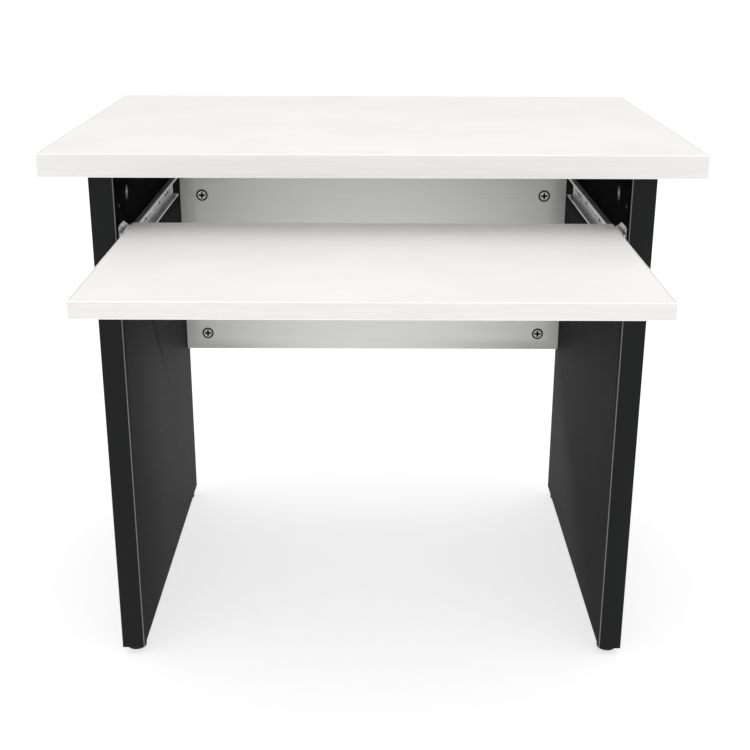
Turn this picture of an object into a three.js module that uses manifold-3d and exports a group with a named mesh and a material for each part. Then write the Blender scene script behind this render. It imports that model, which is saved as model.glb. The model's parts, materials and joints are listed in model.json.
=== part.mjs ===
// A computer desk with a keyboard tray, as an assembly of separate named pieces.
//
// Millimetres. X runs to the user's right, Y away from the user, Z up.
// The pieces are placed in the desk's own frame: X = 0 is the middle of the desk,
// Y = 0 is the front edge of the desktop and Z = 0 is the floor. The exported group
// is moved along Y so that the origin is under the middle of the whole object,
// which stands with its keyboard tray pulled right out.

import * as THREE from "three";
import { mergeVertices, toCreasedNormals } from "three/addons/utils/BufferGeometryUtils.js";
import Module from "manifold-3d";

const wasm = await Module();
wasm.setup();

// ---------------------------------------------------------------- driving dimensions

const GAP = 0.3; // between pieces that touch

const DESK_HEIGHT = 740;
const DESKTOP = { width: 850, depth: 600, thickness: 30, band: 2, cornerRadius: 3 };

const PANEL = {
  thickness: 32,
  outerSpan: 732, // over the outer faces of the two side panels
  frontSetback: 22, // from the desktop's front edge
  rearSetback: 10, // from the desktop's rear edge
  floorGap: 12, // filled by the levelling feet
  band: 2,
};

const MODESTY = { thickness: 18, front: 562, bottom: 296 };

const TRAY = {
  width: 642,
  depth: 376,
  thickness: 20,
  top: 638,
  pulledOut: 311, // its front edge in front of the desktop's front edge
  band: 2,
  cornerRadius: 3,
};

// Ball-bearing slides. "across" is measured from the side panel's inner face
// towards the middle of the desk, "up" from the slide's centre line.
const SLIDE = {
  front: 35,
  length: 446,
  centre: 607,
  height: 32,
  width: 10.5,
  sheet: 1.2,
  lip: 3,
};

// The channel's front end: its web rises to an ear for the first screw and slopes down
// to the upper flange. A finger folded back from the ear's front edge guides the tray.
const EAR = { length: 77, flat: 31, rise: 17, screwUp: 27, corner: 5, overlap: 2 };
const FINGER = { length: 54, low: 17, top: 23.4, across: 3.4 };

// Cut and bent details of the channel's rear end.
const STOP = { from: 3.5, to: 8.5, height: 5 };
const NOTCH = { front: 42, rear: 30 }; // in the lower lip, from the channel's rear end

const CHANNEL_SCREWS = [14.5, 226, 413]; // along the channel from its front end
const CHANNEL_SPARE_SLOTS = [176, 194, 312, 370, 391]; // left empty, as on any such slide
const SPARE_SLOT = { radius: 2.2, halfLength: 4 };

const RAIL = { rear: 160, length: 385, halfHeight: 10.7, webAcross: 7.2, flangeAcross: 3.2 };

const BRACKET = { length: 30, sheet: 1.5, reach: 36, drop: 12, screwAcross: 25 };
const BRACKET_CENTRES = [110, 220, 340]; // along the tray from its front edge
const WELD_OVERLAP = 0.1;

const CAGE = { front: 114, length: 92, sheet: 0.8, across: 1.9, armAcross: 7.8 };
const BALL = { radius: 1.9, across: 5.2, up: 12.75, perArm: 4 };

const CAM = {
  bodyRadius: 7.2,
  depth: 12.4,
  rimRadius: 10,
  rimHeight: 0.9,
  rimChamfer: 0.5,
  setback: 38, // of its middle from the joint
  boltLine: 9, // of the bolt under the face that the cam sits in
  pocketGrow: 0.5,
};
const CAM_CROSS = { length: 9.5, width: 2, depth: 3.2 };
const PANEL_CAM_INSETS = [80, 90]; // of the cams from the panel's front and rear edges
const MODESTY_CAM_HEIGHTS = [325, 575];

const BOLT = {
  threadRadius: 2.9,
  threadLength: 10.5,
  collarRadius: 3.6,
  collarLength: 1.5,
  shankRadius: 3,
  neckRadius: 1.9,
  headRadius: 3.2,
  headLength: 2.5,
  tipLength: 1.5,
  holeRadius: 4,
};
const DOWEL = { radius: 3.9, length: 30, chamfer: 1 };
const DOWEL_OFFSET = 48; // from the nearest cam's bolt, along the joint

const SCREW = { shankRadius: 1.7, headRadius: 3.5 };
const CHANNEL_SCREW_LENGTH = 13;
const TRAY_SCREW = { length: 12, headHeight: 2.2, headRadius: 3.8, headEdge: 1, tip: 2 };

const PILOT = { radius: 2.5, depth: 8, inset: 28, below: 46 };

const FOOT = {
  inset: 26,
  padRadius: 14,
  padHeight: 7,
  padEdge: 1.5, // chamfer at the floor
  shoulderWidth: 4,
  shoulderHeight: 2.5,
  stemRadius: 3.9,
  stemTop: 36,
};
const INSERT = { outerRadius: 5.2, innerRadius: 4.2, length: 20 };
const FOOT_TRAVEL_UP = 4;
const HOLE_END = 2; // of a foot's hole, past its stem at its highest

const ROUND = 16; // sides of a round piece or hole
const FINE_ROUND = 10; // sides of a small one
const MOUTH = 1; // that a hole's cutting tool stands out of the face it cuts

// ---------------------------------------------------------------- worked-out dimensions

const DESKTOP_UNDERSIDE = DESK_HEIGHT - DESKTOP.thickness;
const PANEL_INNER = PANEL.outerSpan / 2 - PANEL.thickness; // |x| of the inner faces
const PANEL_MIDDLE = PANEL_INNER + PANEL.thickness / 2;
const PANEL_REAR = DESKTOP.depth - PANEL.rearSetback;
const PANEL_TOP = DESKTOP_UNDERSIDE - GAP;
const PANEL_CAM_YS = [
  PANEL.frontSetback + PANEL_CAM_INSETS[0],
  PANEL_REAR - PANEL_CAM_INSETS[1],
];
const PANEL_DOWEL_YS = [PANEL_CAM_YS[0] + DOWEL_OFFSET, PANEL_CAM_YS[1] - DOWEL_OFFSET];
const MODESTY_HALF = PANEL_INNER - GAP;
const MODESTY_BOLT_Y = MODESTY.front + CAM.boltLine;
const MODESTY_DOWEL_HEIGHTS = [
  MODESTY_CAM_HEIGHTS[0] + DOWEL_OFFSET,
  MODESTY_CAM_HEIGHTS[1] - DOWEL_OFFSET,
];
const TRAY_FRONT = -TRAY.pulledOut;
const TRAY_REAR = TRAY_FRONT + TRAY.depth;
const TRAY_UNDERSIDE = TRAY.top - TRAY.thickness;
const FOOT_YS = [PANEL.frontSetback + FOOT.inset, PANEL_REAR - FOOT.inset];
const OBJECT_MIDDLE_Y = (TRAY_FRONT + DESKTOP.depth) / 2;

// ---------------------------------------------------------------- materials

const finish = (color, roughness, metalness) => ({ color, roughness, metalness });

const WHITE_LAMINATE = finish(0xf4f4f3, 0.5, 0);
const BLACK_LAMINATE = finish(0x26282a, 0.55, 0);
const SILVER_LAMINATE = finish(0xd8d8d6, 0.42, 0.25);
const WHITE_BAND = finish(0xececeb, 0.45, 0);
const BLACK_BAND = finish(0x303234, 0.45, 0);
const ZINC = finish(0xc4c6c8, 0.32, 0.9);
const CAM_METAL = finish(0xb4b5b3, 0.4, 0.85);
const BEECH = finish(0xcfae7c, 0.7, 0);
const BLACK_PLASTIC = finish(0x1c1c1e, 0.55, 0);

// ---------------------------------------------------------------- solids

const object = new THREE.Group();

// A three.js geometry as a manifold-3d solid.
function solid(geometry) {
  const bare = geometry.clone();
  bare.deleteAttribute("normal");
  bare.deleteAttribute("uv");
  const merged = mergeVertices(bare, 1e-4);
  return new wasm.Manifold(
    new wasm.Mesh({
      numProp: 3,
      vertProperties: merged.getAttribute("position").array,
      triVerts: new Uint32Array(merged.index.array),
    }),
  );
}

// A manifold-3d solid as a three.js geometry.
function geometryOf(made) {
  const mesh = made.getMesh();
  const geometry = new THREE.BufferGeometry();
  geometry.setAttribute("position", new THREE.BufferAttribute(mesh.vertProperties, 3));
  geometry.setIndex(new THREE.BufferAttribute(mesh.triVerts, 1));
  return toCreasedNormals(geometry, THREE.MathUtils.degToRad(35));
}

const join = (first, ...others) => others.reduce((sum, one) => sum.add(one), first);
const cut = (base, ...tools) => tools.reduce((rest, one) => rest.subtract(one), base);

// Adds a solid to the object as a named mesh with its own material.
function add(name, made, look) {
  const mesh = new THREE.Mesh(geometryOf(made), new THREE.MeshStandardMaterial(look));
  mesh.name = name;
  object.add(mesh);
}

// A box between two corners.
function block([x0, y0, z0], [x1, y1, z1]) {
  const box = new THREE.BoxGeometry(Math.abs(x1 - x0), Math.abs(y1 - y0), Math.abs(z1 - z0));
  box.translate((x0 + x1) / 2, (y0 + y1) / 2, (z0 + z1) / 2);
  return solid(box);
}

// A turned piece. Its profile is a list of [radius, distance along the axis] that starts
// and ends on the axis or closes on itself; it stands at a point and faces a direction.
function turned(profile, sides, at, facing) {
  const points = profile.map(([radius, along]) => new THREE.Vector2(radius, along));
  const lathe = new THREE.LatheGeometry(points, sides);
  const turn = new THREE.Quaternion().setFromUnitVectors(
    new THREE.Vector3(0, 1, 0),
    new THREE.Vector3(...facing),
  );
  lathe.applyQuaternion(turn);
  lathe.translate(...at);
  return solid(lathe);
}

// A round rod or, as a tool, a round hole.
function rod(radius, length, sides, at, facing) {
  const profile = [
    [0, 0],
    [radius, 0],
    [radius, length],
    [0, length],
  ];
  return turned(profile, sides, at, facing);
}

// A rectangle with round corners, for a board's outline.
function outline(width, depth, radius) {
  const x = width / 2;
  const y = depth / 2;
  const shape = new THREE.Shape();
  shape.moveTo(-x + radius, -y);
  shape.lineTo(x - radius, -y);
  shape.absarc(x - radius, -y + radius, radius, -Math.PI / 2, 0);
  shape.lineTo(x, y - radius);
  shape.absarc(x - radius, y - radius, radius, 0, Math.PI / 2);
  shape.lineTo(-x + radius, y);
  shape.absarc(-x + radius, y - radius, radius, Math.PI / 2, Math.PI);
  shape.lineTo(-x, -y + radius);
  shape.absarc(-x + radius, -y + radius, radius, Math.PI, Math.PI * 1.5);
  return shape;
}

const innerCorner = (board) => board.cornerRadius - board.band;

// A board's core, inside its edge band.
function boardCore(board, centreY, underside) {
  const inset = 2 * (board.band + GAP);
  const shape = outline(board.width - inset, board.depth - inset, innerCorner(board));
  const core = new THREE.ExtrudeGeometry(shape, {
    depth: board.thickness,
    curveSegments: 1,
    bevelEnabled: false,
  });
  core.translate(0, centreY, underside);
  return solid(core);
}

// The band of plastic that runs round a board's four edges.
function edgeBand(board, centreY, underside) {
  const inset = 2 * board.band;
  const shape = outline(board.width, board.depth, board.cornerRadius);
  shape.holes.push(
    outline(board.width - inset, board.depth - inset, innerCorner(board)),
  );
  const band = new THREE.ExtrudeGeometry(shape, {
    depth: board.thickness,
    curveSegments: 4,
    bevelEnabled: false,
  });
  band.translate(0, centreY, underside);
  return solid(band);
}

// ---------------------------------------------------------------- cam joints

// One cam joint: the cam in the face of one board draws a bolt that stands in the other.
// "at" is where the bolt leaves the board it is screwed into, "along" points from there
// to the cam, and "out" points out of the face that the cam sits in.
function camJoint(at, along, out) {
  const start = new THREE.Vector3(...at);
  const bolt = new THREE.Vector3(...along);
  const face = new THREE.Vector3(...out);
  const axis = start.clone().addScaledVector(bolt, CAM.setback);
  const mouth = axis.clone().addScaledVector(face, CAM.boltLine);
  return { start, bolt, face, axis, mouth };
}

// A cam: a turned body with a rim, a cross in its face and a pocket for the bolt's head.
function camSolid(joint) {
  const profile = [
    [0, -CAM.depth],
    [CAM.bodyRadius, -CAM.depth],
    [CAM.bodyRadius, GAP],
    [CAM.rimRadius, GAP],
    [CAM.rimRadius - CAM.rimChamfer, GAP + CAM.rimHeight],
    [0, GAP + CAM.rimHeight],
  ];
  const body = turned(profile, ROUND, joint.mouth.toArray(), joint.face.toArray());
  const recess = [CAM_CROSS.length, CAM_CROSS.width].map((long, turn) => {
    const wide = turn ? CAM_CROSS.length : CAM_CROSS.width;
    const arm = new THREE.BoxGeometry(long, 2 * CAM_CROSS.depth, wide);
    arm.rotateY(Math.PI / 4);
    const facing = new THREE.Quaternion().setFromUnitVectors(
      new THREE.Vector3(0, 1, 0),
      joint.face,
    );
    arm.applyQuaternion(facing);
    const centre = joint.mouth.clone().addScaledVector(joint.face, GAP + CAM.rimHeight);
    arm.translate(...centre.toArray());
    return solid(arm);
  });
  const pocketEnd = joint.axis.clone().addScaledVector(joint.bolt, BOLT.holeRadius);
  const pocket = rod(
    BOLT.headRadius + CAM.pocketGrow,
    CAM.bodyRadius * 2,
    FINE_ROUND,
    pocketEnd.toArray(),
    joint.bolt.clone().negate().toArray(),
  );
  return cut(body, ...recess, pocket);
}

function boltSolid(joint) {
  const headEnd = CAM.setback + BOLT.tipLength;
  const headStart = headEnd - BOLT.headLength;
  const neckStart = headStart - CAM.bodyRadius;
  const collarEnd = GAP + BOLT.collarLength;
  const profile = [
    [0, -BOLT.threadLength],
    [BOLT.threadRadius, -BOLT.threadLength],
    [BOLT.threadRadius, GAP],
    [BOLT.collarRadius, GAP],
    [BOLT.collarRadius, collarEnd],
    [BOLT.shankRadius, collarEnd],
    [BOLT.shankRadius, neckStart],
    [BOLT.neckRadius, neckStart],
    [BOLT.neckRadius, headStart],
    [BOLT.headRadius, headStart],
    [BOLT.headRadius, headEnd],
    [0, headEnd + BOLT.tipLength],
  ];
  return turned(profile, FINE_ROUND, joint.start.toArray(), joint.bolt.toArray());
}

// Holes for a joint: in the board that holds the cam, and in the board the bolt stands in.
function camHoles(joint) {
  const camHole = rod(
    CAM.bodyRadius + GAP,
    CAM.depth + GAP + MOUTH,
    ROUND,
    joint.mouth.clone().addScaledVector(joint.face, MOUTH).toArray(),
    joint.face.clone().negate().toArray(),
  );
  const boltHole = rod(
    BOLT.holeRadius,
    CAM.setback + MOUTH,
    FINE_ROUND,
    joint.start.clone().addScaledVector(joint.bolt, -MOUTH).toArray(),
    joint.bolt.toArray(),
  );
  return [camHole, boltHole];
}

function threadHole(joint) {
  return rod(
    BOLT.threadRadius + GAP,
    BOLT.threadLength + GAP + MOUTH,
    FINE_ROUND,
    joint.start.clone().addScaledVector(joint.bolt, MOUTH).toArray(),
    joint.bolt.clone().negate().toArray(),
  );
}

// ---------------------------------------------------------------- dowels

// A dowel lies half in each of two boards; "at" is where it crosses the joint.
function dowelSolid(at, along) {
  const half = DOWEL.length / 2;
  const profile = [
    [0, -half],
    [DOWEL.radius - DOWEL.chamfer, -half],
    [DOWEL.radius, -half + DOWEL.chamfer],
    [DOWEL.radius, half - DOWEL.chamfer],
    [DOWEL.radius - DOWEL.chamfer, half],
    [0, half],
  ];
  return turned(profile, FINE_ROUND, at, along);
}

function dowelHole(at, along) {
  const start = new THREE.Vector3(...at).addScaledVector(
    new THREE.Vector3(...along),
    -DOWEL.length / 2 - MOUTH,
  );
  const length = DOWEL.length + 2 * MOUTH;
  return rod(DOWEL.radius + GAP, length, FINE_ROUND, start.toArray(), along);
}

// ---------------------------------------------------------------- where the joints are

const SIDES = [
  { name: "left", sign: -1 },
  { name: "right", sign: 1 },
];
const ENDS = ["front", "rear"];
const LEVELS = ["lower", "upper"];

const DOWN = [0, 0, -1];
const UP = [0, 0, 1];

// Cam joints that hold the desktop down on the side panels.
const desktopJoints = SIDES.flatMap(({ name, sign }) =>
  PANEL_CAM_YS.map((y, i) => ({
    name: `desktop_${name}_${ENDS[i]}`,
    sign,
    ...camJoint([sign * (PANEL_INNER + CAM.boltLine), y, DESKTOP_UNDERSIDE], DOWN, [-sign, 0, 0]),
  })),
);

// Cam joints that hold the modesty panel between the side panels.
const modestyJoints = SIDES.flatMap(({ name, sign }) =>
  MODESTY_CAM_HEIGHTS.map((z, i) => ({
    name: `modesty_${name}_${LEVELS[i]}`,
    sign,
    ...camJoint([sign * PANEL_INNER, MODESTY_BOLT_Y, z], [-sign, 0, 0], [0, -1, 0]),
  })),
);

const desktopDowels = SIDES.flatMap(({ name, sign }) =>
  PANEL_DOWEL_YS.map((y, i) => ({
    name: `desktop_${name}_${ENDS[i]}_dowel`,
    sign,
    at: [sign * (PANEL_INNER + CAM.boltLine), y, DESKTOP_UNDERSIDE - GAP / 2],
    along: UP,
  })),
);

const modestyDowels = SIDES.flatMap(({ name, sign }) =>
  MODESTY_DOWEL_HEIGHTS.map((z, i) => ({
    name: `modesty_${name}_${LEVELS[i]}_dowel`,
    sign,
    at: [sign * (PANEL_INNER - GAP / 2), MODESTY_BOLT_Y, z],
    along: [1, 0, 0],
  })),
);

// ---------------------------------------------------------------- slides

// A block in a slide's own terms: along = Y, across and up as for SLIDE.
function slideBlock(sign, [along0, across0, up0], [along1, across1, up1]) {
  const x0 = sign * (PANEL_INNER - across0);
  const x1 = sign * (PANEL_INNER - across1);
  return block([x0, along0, SLIDE.centre + up0], [x1, along1, SLIDE.centre + up1]);
}

// The profile of a countersunk screw from its tip (0) to its head's face, and the same
// shape one gap larger, as a tool.
function countersunk(grow) {
  const face = CHANNEL_SCREW_LENGTH + GAP + SLIDE.sheet;
  return [
    [0, -grow],
    [SCREW.shankRadius + grow, -grow],
    [SCREW.shankRadius + grow, CHANNEL_SCREW_LENGTH + GAP],
    [SCREW.headRadius + grow, face],
    [SCREW.headRadius + grow, face + 2 * grow],
    [0, face + 2 * grow],
  ];
}

function channelScrewPlaces(sign) {
  return CHANNEL_SCREWS.map((along, i) => {
    const up = i ? 0 : EAR.screwUp;
    return [
      sign * (PANEL_INNER + CHANNEL_SCREW_LENGTH),
      SLIDE.front + along,
      SLIDE.centre + up,
    ];
  });
}

// The plate that rises from the front of the channel's web.
function earSolid(sign) {
  const { front, height, sheet, centre } = SLIDE;
  const low = height / 2 - EAR.overlap;
  const top = height / 2 + EAR.rise;
  const shape = new THREE.Shape();
  shape.moveTo(front, low);
  shape.lineTo(front, top - EAR.corner);
  shape.lineTo(front + EAR.corner, top);
  shape.lineTo(front + EAR.flat, top);
  shape.lineTo(front + EAR.length, low);
  const ear = new THREE.ExtrudeGeometry(shape, { depth: sheet, bevelEnabled: false });
  // The outline's (x, y) become (Y, Z), and its depth becomes X.
  ear.applyMatrix4(new THREE.Matrix4().makeBasis(
    new THREE.Vector3(0, 1, 0),
    new THREE.Vector3(0, 0, 1),
    new THREE.Vector3(1, 0, 0),
  ));
  const nearX = Math.min(sign * (PANEL_INNER - GAP), sign * (PANEL_INNER - GAP - sheet));
  ear.translate(nearX, 0, centre);
  return solid(ear);
}

// A slot through the channel's web, as tools: a block between two rods.
function spareSlot(sign, y) {
  const { radius, halfLength } = SPARE_SLOT;
  const depth = 2 * MOUTH + SLIDE.sheet;
  const x = sign * (PANEL_INNER + MOUTH - GAP);
  const ends = [-halfLength, halfLength].map((shift) =>
    rod(radius, depth, FINE_ROUND, [x, y + shift, SLIDE.centre], [-sign, 0, 0]),
  );
  const middle = block(
    [x, y - halfLength, SLIDE.centre - radius],
    [x - sign * depth, y + halfLength, SLIDE.centre + radius],
  );
  return [...ends, middle];
}

// The member on the side panel: a channel with lips, an ear and a finger in front and a
// stop at the rear.
function channelSolid(sign) {
  const { front, length, height, width, sheet, lip } = SLIDE;
  const rear = front + length;
  const half = height / 2;
  const flangeFront = front + EAR.length;
  const fingerInner = FINGER.across + sheet;
  const parts = [
    earSolid(sign),
    slideBlock(sign, [front, GAP, FINGER.low], [front + sheet, fingerInner, FINGER.top]),
    slideBlock(
      sign,
      [front, FINGER.across, FINGER.low],
      [front + FINGER.length, fingerInner, FINGER.top],
    ),
    slideBlock(sign, [flangeFront, GAP, half - sheet], [rear, width, half]),
    slideBlock(sign, [front, GAP, -half], [rear, width, -half + sheet]),
    slideBlock(sign, [flangeFront, width - sheet, half - lip], [rear, width, half]),
    slideBlock(sign, [front, width - sheet, -half], [rear, width, -half + lip]),
    slideBlock(sign, [rear - sheet, STOP.from, -half], [rear, STOP.to, -half + STOP.height]),
  ];
  const web = slideBlock(sign, [front, GAP, -half], [rear, GAP + sheet, half]);
  const spares = CHANNEL_SPARE_SLOTS.flatMap((along) => spareSlot(sign, front + along));
  const screws = channelScrewPlaces(sign).map((at) =>
    turned(countersunk(GAP), FINE_ROUND, at, [-sign, 0, 0]),
  );
  const notch = slideBlock(
    sign,
    [rear - NOTCH.front, width - sheet - MOUTH, -half + sheet],
    [rear - NOTCH.rear, width + MOUTH, -half + lip + MOUTH],
  );
  return cut(join(web, ...parts), ...spares, ...screws, notch);
}

// The member that carries the tray: a rail open towards the channel, with three brackets
// welded to it that reach under the tray.
function railSolid(sign) {
  const { rear, length, halfHeight, webAcross, flangeAcross } = RAIL;
  const front = rear - length;
  const inner = webAcross + SLIDE.sheet;
  const top = TRAY_UNDERSIDE - GAP - SLIDE.centre;
  const weld = inner - WELD_OVERLAP;
  const web = slideBlock(sign, [front, webAcross, -halfHeight], [rear, inner, halfHeight]);
  const flanges = [-1, 1].map((side) =>
    slideBlock(
      sign,
      [front, flangeAcross, side * halfHeight],
      [rear, inner, side * (halfHeight - SLIDE.sheet)],
    ),
  );
  const brackets = BRACKET_CENTRES.flatMap((centre) => {
    const start = TRAY_FRONT + centre - BRACKET.length / 2;
    const end = start + BRACKET.length;
    return [
      slideBlock(sign, [start, weld, top - BRACKET.drop], [end, inner + BRACKET.sheet, top]),
      slideBlock(sign, [start, weld, top - BRACKET.sheet], [end, BRACKET.reach, top]),
    ];
  });
  const holeLength = TRAY_SCREW.headHeight + GAP + BRACKET.sheet + MOUTH;
  const holes = trayScrewPlaces(sign).map((at) =>
    rod(SCREW.shankRadius + GAP, holeLength, FINE_ROUND, at, UP),
  );
  return cut(join(web, ...flanges, ...brackets), ...holes);
}

// The underside of each tray screw's head, and the bracket above it.
function trayScrewPlaces(sign) {
  const bracketUnderside = TRAY_UNDERSIDE - GAP - BRACKET.sheet;
  return BRACKET_CENTRES.map((centre) => [
    sign * (PANEL_INNER - BRACKET.screwAcross),
    TRAY_FRONT + centre,
    bracketUnderside - GAP - TRAY_SCREW.headHeight,
  ]);
}

function trayScrewProfile(grow) {
  const { length, headHeight, headRadius, headEdge, tip } = TRAY_SCREW;
  const end = headHeight + GAP + BRACKET.sheet + GAP + length;
  return [
    [0, 0],
    [headRadius - headEdge, 0],
    [headRadius, headEdge],
    [headRadius, headHeight],
    [SCREW.shankRadius + grow, headHeight],
    [SCREW.shankRadius + grow, end - tip + grow],
    [0, end + grow],
  ];
}

// The ball cage: a strip bent to a U whose arms hold the balls in both races.
function cageSolid(sign) {
  const { front, length, sheet, across, armAcross } = CAGE;
  const rear = front + length;
  const strip = slideBlock(
    sign,
    [front, across, -BALL.up - sheet / 2],
    [rear, across + sheet, BALL.up + sheet / 2],
  );
  const arms = [-1, 1].map((side) =>
    slideBlock(
      sign,
      [front, across, side * BALL.up - sheet / 2],
      [rear, armAcross, side * BALL.up + sheet / 2],
    ),
  );
  const pitch = length / BALL.perArm;
  const balls = [-1, 1].flatMap((side) =>
    Array.from({ length: BALL.perArm }, (_, i) => {
      const ball = new THREE.SphereGeometry(BALL.radius, 6, 4);
      ball.translate(
        sign * (PANEL_INNER - BALL.across),
        front + pitch * (i + 0.5),
        SLIDE.centre + side * BALL.up,
      );
      return solid(ball);
    }),
  );
  return join(strip, ...arms, ...balls);
}

// ---------------------------------------------------------------- feet

const footPlaces = SIDES.flatMap(({ name, sign }) =>
  FOOT_YS.map((y, i) => ({
    name: `${name}_${ENDS[i]}`,
    sign,
    at: [sign * PANEL_MIDDLE, y, 0],
  })),
);

function footSolid(at) {
  const { padRadius, padHeight, padEdge, stemRadius, stemTop } = FOOT;
  const profile = [
    [0, 0],
    [padRadius - padEdge, 0],
    [padRadius, padEdge],
    [padRadius, padHeight - FOOT.shoulderHeight],
    [padRadius - FOOT.shoulderWidth, padHeight],
    [stemRadius, padHeight],
    [stemRadius, stemTop],
    [0, stemTop],
  ];
  return turned(profile, ROUND, at, UP);
}

function insertSolid([x, y]) {
  const low = PANEL.floorGap + GAP;
  const profile = [
    [INSERT.innerRadius, 0],
    [INSERT.outerRadius, 0],
    [INSERT.outerRadius, INSERT.length],
    [INSERT.innerRadius, INSERT.length],
    [INSERT.innerRadius, 0],
  ];
  return turned(profile, FINE_ROUND, [x, y, low], UP);
}

function footHole([x, y]) {
  const low = PANEL.floorGap - MOUTH;
  const length = FOOT.stemTop + FOOT_TRAVEL_UP + HOLE_END - low;
  return rod(INSERT.outerRadius + GAP, length, ROUND, [x, y, low], UP);
}

// ---------------------------------------------------------------- boards

function desktopSolid() {
  const core = boardCore(DESKTOP, DESKTOP.depth / 2, DESKTOP_UNDERSIDE);
  return cut(
    core,
    ...desktopJoints.map(threadHole),
    ...desktopDowels.map(({ at, along }) => dowelHole(at, along)),
  );
}

function sidePanelSolid(side) {
  const { sign } = side;
  const mine = (one) => one.sign === sign;
  const board = block(
    [sign * PANEL_INNER, PANEL.frontSetback + PANEL.band + GAP, PANEL.floorGap],
    [sign * (PANEL_INNER + PANEL.thickness), PANEL_REAR, PANEL_TOP],
  );
  const pilot = rod(
    PILOT.radius,
    PILOT.depth + MOUTH,
    FINE_ROUND,
    [
      sign * (PANEL_INNER - MOUTH),
      PANEL.frontSetback + PILOT.inset,
      DESKTOP_UNDERSIDE - PILOT.below,
    ],
    [sign, 0, 0],
  );
  return cut(
    board,
    pilot,
    ...desktopJoints.filter(mine).flatMap(camHoles),
    ...modestyJoints.filter(mine).map(threadHole),
    ...desktopDowels.filter(mine).map(({ at, along }) => dowelHole(at, along)),
    ...modestyDowels.filter(mine).map(({ at, along }) => dowelHole(at, along)),
    ...channelScrewPlaces(sign).map((at) =>
      turned(countersunk(GAP), FINE_ROUND, at, [-sign, 0, 0]),
    ),
    ...footPlaces.filter(mine).map(({ at }) => footHole(at)),
  );
}

function sidePanelBandSolid({ sign }) {
  return block(
    [sign * PANEL_INNER, PANEL.frontSetback, PANEL.floorGap],
    [sign * (PANEL_INNER + PANEL.thickness), PANEL.frontSetback + PANEL.band, PANEL_TOP],
  );
}

function modestySolid() {
  const board = block(
    [-MODESTY_HALF, MODESTY.front, MODESTY.bottom],
    [MODESTY_HALF, MODESTY.front + MODESTY.thickness, PANEL_TOP],
  );
  return cut(
    board,
    ...modestyJoints.flatMap(camHoles),
    ...modestyDowels.map(({ at, along }) => dowelHole(at, along)),
  );
}

function traySolid() {
  const core = boardCore(TRAY, (TRAY_FRONT + TRAY_REAR) / 2, TRAY_UNDERSIDE);
  const holes = SIDES.flatMap(({ sign }) => trayScrewPlaces(sign)).map((at) =>
    turned(trayScrewProfile(GAP), FINE_ROUND, at, UP),
  );
  return cut(core, ...holes);
}

// ---------------------------------------------------------------- the assembly

add("desktop_board", desktopSolid(), WHITE_LAMINATE);
add(
  "desktop_edge_band",
  edgeBand(DESKTOP, DESKTOP.depth / 2, DESKTOP_UNDERSIDE),
  WHITE_BAND,
);

for (const side of SIDES) {
  add(`${side.name}_side_panel`, sidePanelSolid(side), BLACK_LAMINATE);
  add(`${side.name}_panel_edge_band`, sidePanelBandSolid(side), BLACK_BAND);
}

add("modesty_panel", modestySolid(), SILVER_LAMINATE);

add("keyboard_tray", traySolid(), WHITE_LAMINATE);
add(
  "tray_edge_band",
  edgeBand(TRAY, (TRAY_FRONT + TRAY_REAR) / 2, TRAY_UNDERSIDE),
  WHITE_BAND,
);

for (const { name, sign } of SIDES) {
  add(`${name}_slide_channel`, channelSolid(sign), ZINC);
  add(`${name}_slide_rail`, railSolid(sign), ZINC);
  add(`${name}_ball_cage`, cageSolid(sign), ZINC);
  channelScrewPlaces(sign).forEach((at, i) => {
    const screw = turned(countersunk(0), FINE_ROUND, at, [-sign, 0, 0]);
    add(`${name}_channel_screw_${i + 1}`, screw, ZINC);
  });
  trayScrewPlaces(sign).forEach((at, i) => {
    const screw = turned(trayScrewProfile(0), FINE_ROUND, at, UP);
    add(`${name}_tray_screw_${i + 1}`, screw, ZINC);
  });
}

for (const joint of [...desktopJoints, ...modestyJoints]) {
  add(`${joint.name}_cam`, camSolid(joint), CAM_METAL);
  add(`${joint.name}_cam_bolt`, boltSolid(joint), ZINC);
}

for (const { name, at, along } of [...desktopDowels, ...modestyDowels]) {
  add(name, dowelSolid(at, along), BEECH);
}

for (const { name, at } of footPlaces) {
  add(`${name}_foot`, footSolid(at), BLACK_PLASTIC);
  add(`${name}_foot_insert`, insertSolid(at), ZINC);
}

object.position.y = -OBJECT_MIDDLE_Y;

export default object;
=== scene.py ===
"""Looks for the computer desk with keyboard tray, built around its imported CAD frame.

Everything is in metres, in the CAD's own frame: X to the user's right, Y away from the
user, Z up, with the origin on the floor. Places come from the frame's node boxes.
"""

import json
import math

import bmesh
import bpy
from mathutils import Matrix, Vector

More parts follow.
